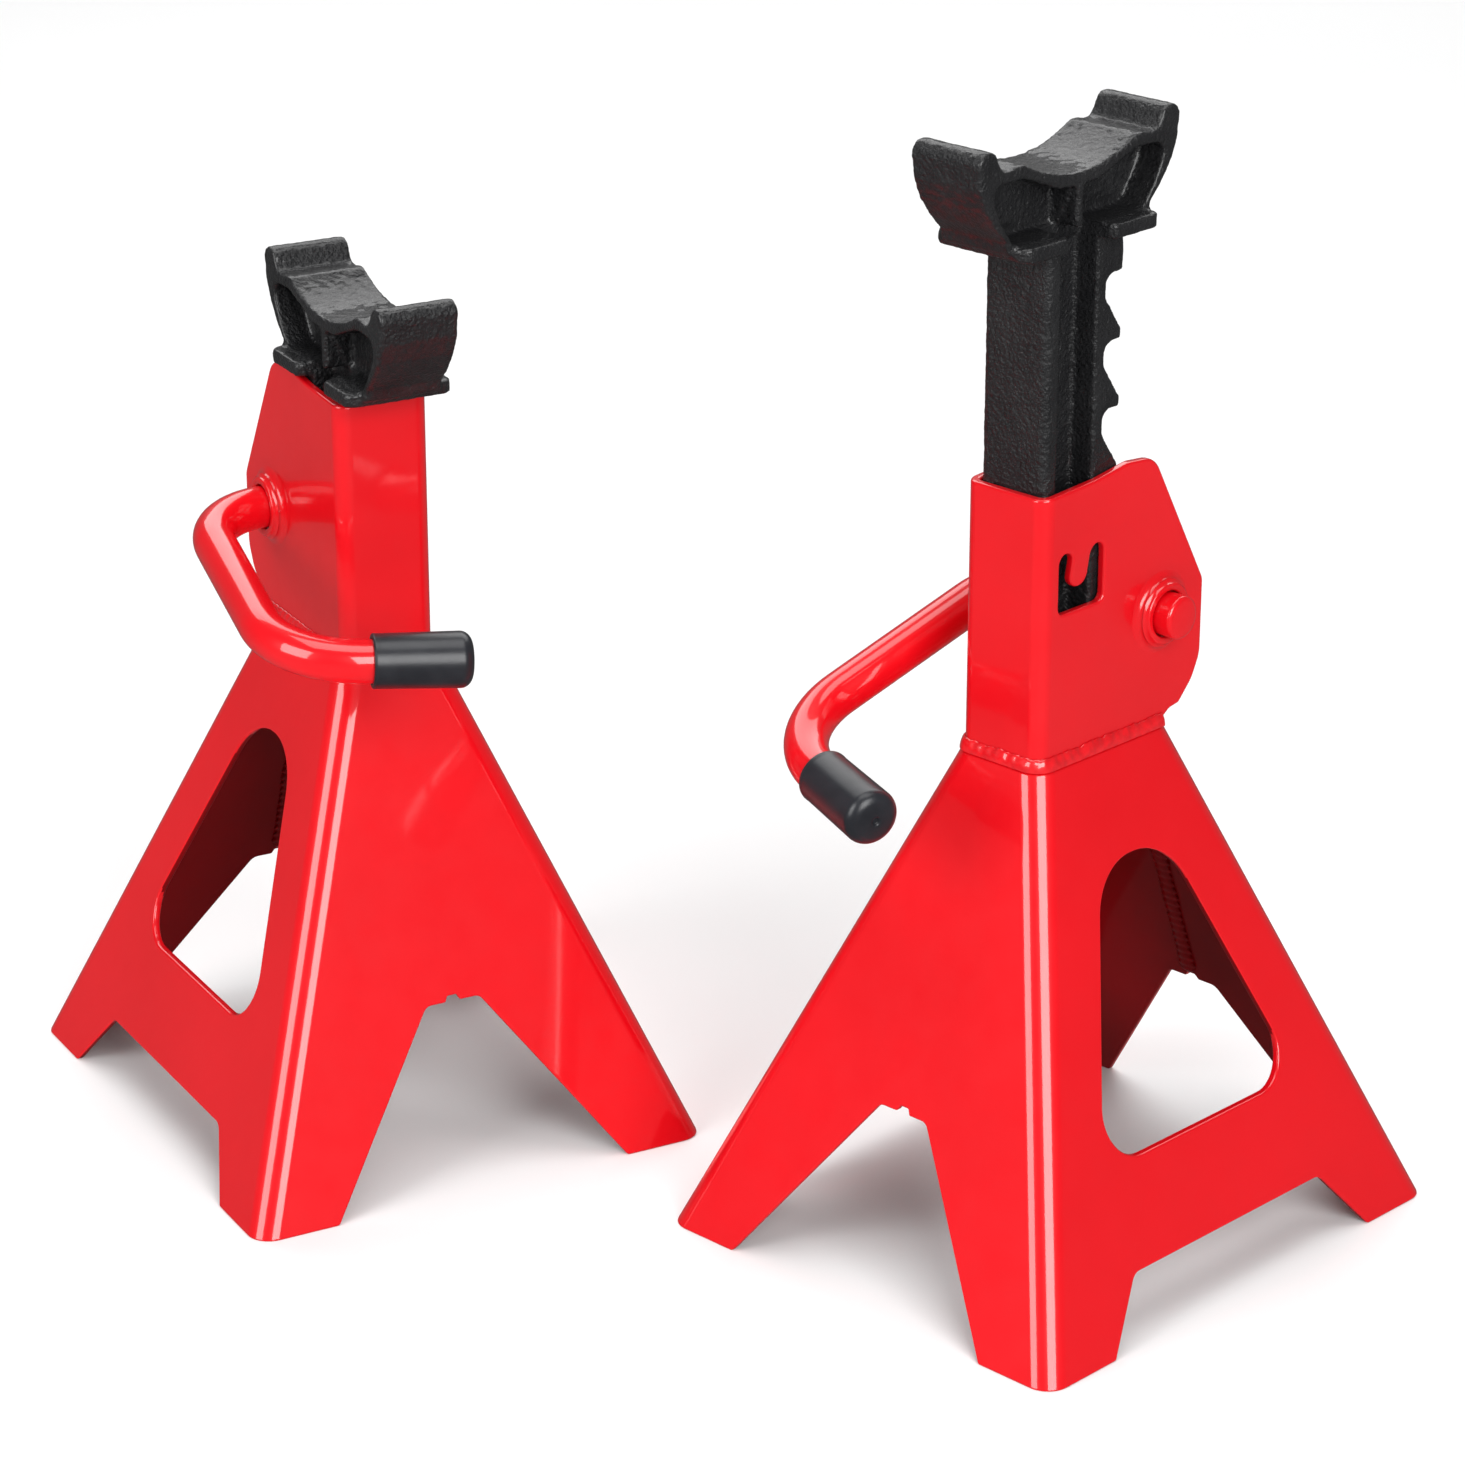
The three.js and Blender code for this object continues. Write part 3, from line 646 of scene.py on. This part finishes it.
# ---------------------------------------------------------------- handle
def handle_path():
    """The rod's middle line: straight, bent, straight, bent, straight."""
    rod_end = GRIP_TIP - GRIP_AXIS * (GRIP_WALL + CLEARANCE)
    steps = 28
    points = [ROD_START.copy()]
    bends = [(ROD_START, ELBOW_1, ELBOW_2, BEND_1), (ELBOW_1, ELBOW_2, GRIP_TIP, BEND_2)]
    for before, corner, after, radius in bends:
        centre, start, end = fillet(before, corner, after, radius)
        axis = start.cross(end).normalized()
        for k in range(steps + 1):
            points.append(Matrix.Rotation(start.angle(end) * k / steps, 3, axis) @ start + centre)
    points.append(rod_end)
    return points


def tube(name, stations, segments=56):
    """A round body along stations of (point, radius), with each ring square to the way it runs."""
    points = [p for p, _ in stations]
    side = Vector((0, 0, 1))
    rings = []
    for i, (here, radius) in enumerate(stations):
        along = (points[min(i + 1, len(points) - 1)] - points[max(i - 1, 0)]).normalized()
        side = (side - along * side.dot(along)).normalized()
        other = along.cross(side)
        rings.append([here + (side * math.cos(a) + other * math.sin(a)) * radius
                      for a in circle_turns(segments)])
    return loft(name, rings)


def handle_rod():
    """The bent rod, with its pin end rounded over."""
    path = handle_path()
    inward = (path[1] - path[0]).normalized()
    end = [(0.0, 1.6), (0.05, 3.4), (0.2, 5.2), (0.32, 5.8), (0.6, 6.35), (1.0, 6.75), (1.5, ROD_RADIUS)]
    stations = [(path[0] + inward * depth, radius) for depth, radius in end]
    stations += [(p, ROD_RADIUS) for p in path[1:]]
    return shade(tube("handle_rod", stations))


def handle_grip():
    """A rubber sleeve with a thin lip at its mouth, a domed end and a moulding dimple."""
    floor = GRIP_LENGTH - GRIP_WALL
    dome_foot = GRIP_LENGTH - GRIP_DOME
    profile = [(GRIP_BORE, floor), (GRIP_BORE, 0.6), (7.2, 0.15), (7.6, 0), (8.3, 0.05), (8.62, 0.35),
               (8.7, 0.9), (8.62, 1.5), (GRIP_MOUTH, 2.2)]
    profile += [(lerp(GRIP_MOUTH, GRIP_END, k / 6), lerp(2.6, dome_foot, k / 6)) for k in range(7)]
    for k in range(1, 9):
        a = math.pi / 2 * k / 8 * 0.86
        profile.append((GRIP_END - GRIP_DOME + GRIP_DOME * math.cos(a), dome_foot + 3.9 * math.sin(a)))
    profile += [(3, GRIP_LENGTH - 0.12), (1.7, GRIP_LENGTH - 0.05), (1.3, GRIP_LENGTH - 0.2),
                (1.05, GRIP_LENGTH - 0.75), (0.7, GRIP_LENGTH - 0.9)]
    sleeve = turned("handle_grip", profile)
    turn = Vector((1, 0, 0)).rotation_difference(GRIP_AXIS).to_matrix().to_4x4()
    mouth = GRIP_TIP - GRIP_AXIS * GRIP_LENGTH
    return shade(moved(sleeve, Matrix.Translation(mouth) @ turn), 50)


def pawl():
    """The pawl: a hub bored for the rod, and a nose that reaches up into the rack."""
    nose = prism("nose", "x", outline([
        (-3, 0.5 - PAWL_HUB), (2, 0), (-1, PAWL_HUB - 0.3), (-15.15, PAWL_TOP),
        (PAWL_TIP, PAWL_TOP, 1.8), (PAWL_TIP, 17.6, 1.8), (1 - PAWL_HUB, 4)], 8), -PAWL_HALF, PAWL_HALF)
    body = turned("pawl", [(PAWL_HUB, -PAWL_HALF), (PAWL_HUB, PAWL_HALF)])
    join(body, nose)
    bore = ROD_RADIUS + CLEARANCE
    cut(body, turned("bore", [(bore, -PAWL_HALF - 1), (bore, PAWL_HALF + 1)]))
    return shade(soften(body, PAWL_EDGE))


def pawl_weld(side):
    """A bead round the rod against the pawl's side."""
    low, high, foot = PAWL_WELD
    bore = ROD_RADIUS + HAIR
    rings = []
    for turn in circle_turns(120):
        lumps = noise.noise(Vector((math.cos(turn), math.sin(turn), 4)))
        swell = 1 + 0.12 * math.sin(18 * turn) + 0.15 * lumps
        ring = [(bore, low), (foot, low)]
        for k in range(1, 8):
            a = math.pi / 2 * k / 8
            ring.append((bore + 2.7 * math.cos(a) * swell, low + (high - low) * math.sin(a) * swell))
        ring.append((bore, high))
        rings.append([Vector((side * x, r * math.cos(turn), r * math.sin(turn))) for r, x in ring])
    return shade(loft("pawl_weld", rings, wrap=True), 50)


# ---------------------------------------------------------------- materials
def add(tree, kind, values):
    """A node of that kind with its socket values, linked where a value is another node's output."""
    node = tree.nodes.new(kind)
    for socket, value in values.items():
        if isinstance(value, bpy.types.NodeSocket):
            tree.links.new(value, node.inputs[socket])
        else:
            node.inputs[socket].default_value = value
    return node


SOCKET_NAMES = {"specular_ior_level": "Specular IOR Level", "coat_ior": "Coat IOR"}


def start_material(name, **sockets):
    """A material with uniform socket values, its shader, and the object's own coordinates."""
    material = bpy.data.materials.new(name)
    material.use_nodes = True
    tree = material.node_tree
    shader = tree.nodes["Principled BSDF"]
    for socket, value in sockets.items():
        shader.inputs[SOCKET_NAMES.get(socket, socket.replace("_", " ").title())].default_value = value
    coords = add(tree, "ShaderNodeTexCoord", {}).outputs["Object"]
    return material, tree, shader, coords


def noise_of(tree, coords, size, detail=2, roughness=0.5):
    """Noise whose lumps are about size millimetres across."""
    node = add(tree, "ShaderNodeTexNoise",
               {"Vector": coords, "Scale": 1 / (size * MM), "Detail": detail, "Roughness": roughness})
    return node.outputs["Fac"]


def blend_of(tree, factor, stops):
    """A colour ramp through stops of (position, colour)."""
    ramp = add(tree, "ShaderNodeValToRGB", {"Fac": factor})
    elements = ramp.color_ramp.elements
    while len(elements) < len(stops):
        elements.new(0.5)
    for element, (position, colour) in zip(elements, stops):
        element.position = position
        element.color = (*colour, 1)
    return ramp.outputs["Color"]


def range_of(tree, value, low, high):
    """The middle half of a noise spread over low to high."""
    node = add(tree, "ShaderNodeMapRange", {"Value": value, "From Min": 0.25, "From Max": 0.75,
                                            "To Min": low, "To Max": high})
    return node.outputs["Result"]


def bumps_of(tree, layers):
    """Bump layers of (height output, depth in millimetres), one over the other."""
    normal = None
    for height, depth in layers:
        values = {"Height": height, "Distance": depth * MM, "Strength": 1}
        if normal:
            values["Normal"] = normal
        normal = add(tree, "ShaderNodeBump", values).outputs["Normal"]
    return normal


def dress(tree, shader, colour, roughness, normal):
    """Links the shader's colour, roughness and normal."""
    tree.links.new(colour, shader.inputs["Base Color"])
    tree.links.new(roughness, shader.inputs["Roughness"])
    tree.links.new(normal, shader.inputs["Normal"])


def red_enamel(name, thin, full, gloss):
    """Enamel whose colour drifts between a thin and a full coat; given dark colours, it also makes the
    painted shade inside the base.
    """
    material, tree, shader, coords = start_material(
        name, coat_weight=gloss, coat_roughness=0.06, coat_ior=1.6, specular_ior_level=0.25 * gloss)
    clouds = noise_of(tree, coords, 60, 3)
    colour = blend_of(tree, clouds, [(0.3, thin), (0.7, full)])
    roughness = range_of(tree, noise_of(tree, coords, 9, 3), 0.29, 0.37)
    waves = (noise_of(tree, coords, 30, 1), 0.08)
    grain = (noise_of(tree, coords, 2.4, 0), 0.003)
    dress(tree, shader, colour, roughness, bumps_of(tree, [waves, grain]))
    return material


def weld_enamel():
    """The same enamel over a weld's lumps."""
    material, tree, shader, coords = start_material(
        "weld", coat_weight=1.0, coat_roughness=0.06, coat_ior=1.6, specular_ior_level=0.3)
    spots = noise_of(tree, coords, 3, 3)
    colour = blend_of(tree, spots, [(0.35, (0.62, 0.003, 0.008)), (0.65, (0.78, 0.005, 0.011))])
    roughness = range_of(tree, noise_of(tree, coords, 4, 3), 0.29, 0.4)
    lumps = (noise_of(tree, coords, 2.6, 2), 0.12)
    grain = (noise_of(tree, coords, 0.9, 2), 0.02)
    dress(tree, shader, colour, roughness, bumps_of(tree, [lumps, grain]))
    return material


def black_casting():
    """Thinly painted cast iron, pebbled all over."""
    material, tree, shader, coords = start_material(
        "black_casting", coat_weight=0.35, coat_roughness=0.08, coat_ior=1.6, specular_ior_level=0.3)
    patches = noise_of(tree, coords, 14, 4)
    pebbles = noise_of(tree, coords, 1.3, 2, 0.55)
    colour = blend_of(tree, patches, [(0.3, (0.010, 0.010, 0.011)), (0.7, (0.017, 0.017, 0.018))])
    roughness = range_of(tree, noise_of(tree, coords, 2, 3), 0.29, 0.48)
    lumps = (noise_of(tree, coords, 3, 2), 0.35)
    dress(tree, shader, colour, roughness, bumps_of(tree, [lumps, (pebbles, 0.9)]))
    return material


def black_rubber():
    material, tree, shader, coords = start_material("black_rubber", specular_ior_level=0.5)
    bloom = noise_of(tree, coords, 8, 4)
    colour = blend_of(tree, bloom, [(0.3, (0.013, 0.014, 0.018)), (0.7, (0.021, 0.022, 0.027))])
    roughness = range_of(tree, noise_of(tree, coords, 3, 3), 0.29, 0.34)
    grain = (noise_of(tree, coords, 0.5, 2), 0.02)
    dress(tree, shader, colour, roughness, bumps_of(tree, [grain]))
    return material


MATERIALS = {
    "red_enamel": red_enamel("red_enamel", (0.70, 0.001, 0.006), (0.76, 0.002, 0.008), 0.9),
    "weld": weld_enamel(),
    "black_casting": black_casting(),
    "black_rubber": black_rubber(),
}

# painted shade: a dark, less glossy copy of the red enamel for the base's inward, downward faces and the
# seam welds, where shade falls
PAINTED_SHADE_ENAMEL = red_enamel("red_enamel_painted_shade", (0.17, 0.001, 0.002), (0.24, 0.001, 0.003), 0.25)

# ---------------------------------------------------------------- the pair
SLOT_OF = {part["node"]: part["material_slot"] for part in RECORD["subparts"]}
BODY_OF = {node: body for body, nodes in RECORD["behaviour"]["bodies"].items() for node in nodes}


def stand_place(side):
    """The matrix that puts a stand's own millimetres into the row frame, from its handle's joint."""
    joint = next(j for j in frame["joints"] if j["name"] == f"{side}_handle_lift")
    axis = Vector(joint["axis"])
    turn = Matrix.Rotation(math.atan2(-axis.y, -axis.x), 4, "Z")
    foot = Vector(joint["pos_m"]) - (turn @ PIVOT) * MM
    foot.z = 0
    return Matrix.Translation(foot) @ turn @ Matrix.Scale(MM, 4)


def bar_place(side):
    """The bar's height in its stand, from where the CAD bar's lower end is."""
    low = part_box(f"{side}_ratchet_bar")[0].z / MM
    return Matrix.Translation((0, 0, low + BAR_LENGTH))


def handle_place(side, stand):
    """The handle's place in its stand: turned about its pivot to where the CAD grip is at rest."""
    low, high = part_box(f"{side}_handle_grip")
    now = stand.inverted() @ ((low + high) / 2) - PIVOT
    engaged = GRIP_TIP - GRIP_AXIS * GRIP_LENGTH / 2
    lift = math.atan2(engaged.z, engaged.y) - math.atan2(now.z, now.y)
    return Matrix.Translation(PIVOT) @ Matrix.Rotation(-lift, 4, "X")


def paint_shade_inside(piece, middle):
    """Paints shade inside the base: the faces that look down and in, towards the stand's middle line, get
    the dark enamel.
    """
    piece.data.materials.append(PAINTED_SHADE_ENAMEL)
    for face in piece.data.polygons:
        outward = (face.center - middle).to_2d()
        looks_in = outward.normalized().dot(face.normal.to_2d()) < -0.3
        face.material_index = 1 if looks_in and face.normal.z < -0.1 else 0


def show(shape, side, node, matrix):
    """A copy of the shape, in place of that CAD node."""
    name = f"{side}_{node}"
    piece = new_object(f"{name}_skin", shape.data.copy())
    piece.data.transform(matrix)
    piece.data.materials.clear()
    # the seam welds inside the base get the dark enamel of painted shade
    weld_in_painted_shade = node.startswith("seam_weld")
    piece.data.materials.append(PAINTED_SHADE_ENAMEL if weld_in_painted_shade else MATERIALS[SLOT_OF[name]])
    # the base halves' faces that look down and in get the dark enamel of painted shade
    if node.startswith("base_half"):
        paint_shade_inside(piece, matrix.translation)
    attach(piece, BODY_OF[name])
    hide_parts(name)


def make_pieces():
    """Each shape is made once and shown in both stands."""
    base = stamped_base()
    fixed = {
        "base_half_pin_side": base_half(base, 1),
        "base_half_grip_side": base_half(base, -1),
        "seam_weld_front": seam_bead(0),
        "seam_weld_rear": seam_bead(math.pi),
        "column": column(),
        "column_foot_weld": foot_weld(),
    }
    turning = {
        "handle_rod": handle_rod(),
        "handle_grip": handle_grip(),
        "pawl": pawl(),
        "pawl_weld_pin_side": pawl_weld(1),
        "pawl_weld_grip_side": pawl_weld(-1),
    }
    bar = ratchet_bar()
    for side in SIDES:
        stand = stand_place(side)
        for node, shape in fixed.items():
            show(shape, side, node, stand)
        for node, shape in turning.items():
            show(shape, side, node, stand @ handle_place(side, stand))
        show(bar, side, "ratchet_bar", stand @ bar_place(side))
    for shape in [base, bar, *fixed.values(), *turning.values()]:
        drop(shape)


make_pieces()


# ---------------------------------------------------------------- floor, light and camera
def make_floor():
    bm = bmesh.new()
    bmesh.ops.create_grid(bm, x_segments=8, y_segments=8, size=4)
    floor = new_body("floor", bm)
    material, tree, shader, coords = start_material("floor", roughness=0.7)
    paper = noise_of(tree, coords, 400, 2)
    colour = blend_of(tree, paper, [(0.3, (0.93, 0.93, 0.93)), (0.7, (0.95, 0.95, 0.95))])
    tree.links.new(colour, shader.inputs["Base Color"])
    floor.data.materials.append(material)
    floor.visible_glossy = False


def make_light(name, place, aim, width, height, radiance):
    """A soft rectangular light that faces its aim."""
    data = bpy.data.lights.new(name, "AREA")
    data.shape = "RECTANGLE"
    data.size = width
    data.size_y = height
    data.energy = radiance * math.pi * width * height
    light = new_object(name, data)
    light.location = place
    light.rotation_euler = (Vector(aim) - Vector(place)).to_track_quat("-Z", "Y").to_euler()


def make_world(strength):
    world = bpy.data.worlds.new("studio")
    world.use_nodes = True
    background = world.node_tree.nodes["Background"]
    background.inputs["Color"].default_value = (1, 1, 1, 1)
    background.inputs["Strength"].default_value = strength
    bpy.context.scene.world = world


def make_camera():
    data = bpy.data.cameras.new("camera")
    data.sensor_width = 36
    data.lens = 114.8
    data.clip_start = 0.05
    data.clip_end = 30
    camera = new_object("camera", data)
    camera.location = CAMERA_PLACE
    camera.rotation_euler = (math.radians(CAMERA_TILT), 0, 0)
    bpy.context.scene.camera = camera


CAMERA_PLACE = (0.00785, -1.37978, 0.69178)
CAMERA_TILT = 68.388
MIDDLE = (0, 0, 0.15)
LIGHTS = [                            # name, place, aim, width, height, radiance
    ("right_box", (0.7, -1.74, 1.05), MIDDLE, 1.15, 1.3, 7),
    ("left_box", (-1.45, -1.15, 0.95), MIDDLE, 0.95, 1.3, 5.4),
    ("top_panel", (0, -0.1, 2.1), MIDDLE, 1.6, 1.3, 2.8),
    ("back_panel", (0, 2.0, 1.9), (0, 1.2, 0), 3.4, 1.6, 2.6),
]
make_floor()
make_world(0.12)
for light_values in LIGHTS:
    make_light(*light_values)
make_camera()
bpy.context.scene.view_settings.view_transform = "Standard"
